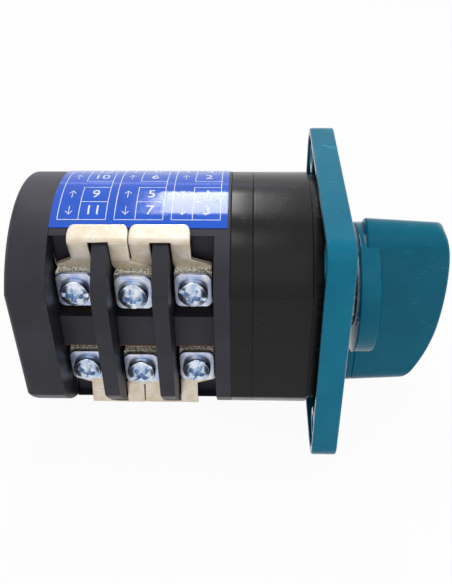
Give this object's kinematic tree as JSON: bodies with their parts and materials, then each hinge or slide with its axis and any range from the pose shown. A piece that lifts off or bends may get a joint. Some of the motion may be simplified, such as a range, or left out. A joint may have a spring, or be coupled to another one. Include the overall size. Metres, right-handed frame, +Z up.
{
  "type": "rotary cam switch",
  "caption": "Panel-mounted rotary cam switch: square front plate with a bar knob, detent head, contact sections with screw terminals and jumpers, and a rear cover.",
  "frame": {"origin": "on the shaft axis, in the plane of the front plate's back rim, which meets the panel", "axes": "+Y along the shaft from the knob towards the rear cover, +Z up to the side with the terminal label, +X to the right seen from the knob"},
  "size_m": [0.064, 0.1051, 0.064],
  "materials": {
    "knob_plastic": "semi-gloss teal moulded plastic",
    "plate_plastic": "semi-gloss teal moulded plastic",
    "housing_plastic": "glossy black moulded plastic",
    "section_plastic": "satin black moulded plastic",
    "cam_plastic": "natural moulded plastic",
    "contact_brass": "rolled brass with silver contact faces",
    "jumper_nickel": "nickel-plated brass sheet",
    "screw_zinc": "blue-passivated zinc on steel",
    "clamp_zinc": "zinc-plated steel",
    "steel": "bright steel",
    "spring_steel": "drawn spring steel",
    "fibre": "red-brown vulcanised fibre",
    "label_film": "glossy blue film with a white grid"
  },
  "bodies": {
    "switch_body": {"front_plate": "plate_plastic", "plate_screws": "steel", "thrust_washer": "steel", "detent_housing": "housing_plastic", "detent_cover": "housing_plastic", "detent_spring_left": "spring_steel", "detent_spring_right": "spring_steel", "section_1": "section_plastic", "section_2": "section_plastic", "section_3": "section_plastic", "return_spring_1_left": "spring_steel", "return_spring_1_right": "spring_steel", "return_spring_2_left": "spring_steel", "return_spring_2_right": "spring_steel", "return_spring_3_left": "spring_steel", "return_spring_3_right": "spring_steel", "fixed_contacts_1": "contact_brass", "fixed_contacts_2": "contact_brass", "fixed_contacts_3": "contact_brass", "terminal_screws": "screw_zinc", "square_washers": "screw_zinc", "clamp_plates": "clamp_zinc", "jumper_upper_front": "jumper_nickel", "jumper_upper_rear": "jumper_nickel", "jumper_lower_front": "jumper_nickel", "jumper_lower_rear": "jumper_nickel", "insulating_strips": "fibre", "rear_cover": "section_plastic", "through_bolts": "steel", "bolt_nuts": "steel", "terminal_label": "label_film"},
    "rotor": {"knob": "knob_plastic", "knob_screw": "steel", "knob_plug": "knob_plastic", "shaft": "steel", "star_wheel": "cam_plastic", "cam_1": "cam_plastic", "cam_2": "cam_plastic", "cam_3": "cam_plastic", "retaining_ring": "spring_steel"},
    "detent_left": {"detent_plunger_left": "cam_plastic"},
    "detent_right": {"detent_plunger_right": "cam_plastic"},
    "contact_1_left": {"contact_plunger_1_left": "cam_plastic", "contact_bridge_1_left": "contact_brass"},
    "contact_1_right": {"contact_plunger_1_right": "cam_plastic", "contact_bridge_1_right": "contact_brass"},
    "contact_2_left": {"contact_plunger_2_left": "cam_plastic", "contact_bridge_2_left": "contact_brass"},
    "contact_2_right": {"contact_plunger_2_right": "cam_plastic", "contact_bridge_2_right": "contact_brass"},
    "contact_3_left": {"contact_plunger_3_left": "cam_plastic", "contact_bridge_3_left": "contact_brass"},
    "contact_3_right": {"contact_plunger_3_right": "cam_plastic", "contact_bridge_3_right": "contact_brass"}
  },
  "joints": [
    {"name": "knob_turn", "type": "hinge", "parent": "switch_body", "child": "rotor", "pos_m": [0, 0, 0], "axis": [0, 1, 0], "range_deg": [-45, 45]},
    {"name": "detent_left_slide", "type": "slide", "parent": "switch_body", "child": "detent_left", "axis": [-1, 0, 0], "range_m": [-0.0008, 0.001], "stiffness_N_per_m": 1500, "springref_m": -0.0008, "deforming": ["detent_spring_left"]},
    {"name": "detent_right_slide", "type": "slide", "parent": "switch_body", "child": "detent_right", "axis": [1, 0, 0], "range_m": [-0.0008, 0.001], "stiffness_N_per_m": 1500, "springref_m": -0.0008, "deforming": ["detent_spring_right"]},
    {"name": "contact_1_left_slide", "type": "slide", "parent": "switch_body", "child": "contact_1_left", "axis": [-1, 0, 0], "range_m": [-0.0015, 0.0015], "deforming": ["return_spring_1_left"]},
    {"name": "contact_1_right_slide", "type": "slide", "parent": "switch_body", "child": "contact_1_right", "axis": [1, 0, 0], "range_m": [-0.0015, 0.0015], "deforming": ["return_spring_1_right"]},
    {"name": "contact_2_left_slide", "type": "slide", "parent": "switch_body", "child": "contact_2_left", "axis": [-1, 0, 0], "range_m": [-0.0015, 0.0015], "deforming": ["return_spring_2_left"]},
    {"name": "contact_2_right_slide", "type": "slide", "parent": "switch_body", "child": "contact_2_right", "axis": [1, 0, 0], "range_m": [-0.0015, 0.0015], "deforming": ["return_spring_2_right"]},
    {"name": "contact_3_left_slide", "type": "slide", "parent": "switch_body", "child": "contact_3_left", "axis": [-1, 0, 0], "range_m": [-0.0015, 0.0015], "deforming": ["return_spring_3_left"]},
    {"name": "contact_3_right_slide", "type": "slide", "parent": "switch_body", "child": "contact_3_right", "axis": [1, 0, 0], "range_m": [-0.0015, 0.0015], "deforming": ["return_spring_3_right"]}
  ],
  "couplings": [
    {"joint": "contact_1_left_slide", "follows": "knob_turn", "m_per_rad": -0.0019},
    {"joint": "contact_1_right_slide", "follows": "knob_turn", "m_per_rad": 0.0019},
    {"joint": "contact_2_left_slide", "follows": "knob_turn", "m_per_rad": -0.0019},
    {"joint": "contact_2_right_slide", "follows": "knob_turn", "m_per_rad": 0.0019},
    {"joint": "contact_3_left_slide", "follows": "knob_turn", "m_per_rad": -0.0019},
    {"joint": "contact_3_right_slide", "follows": "knob_turn", "m_per_rad": 0.0019}
  ]
}
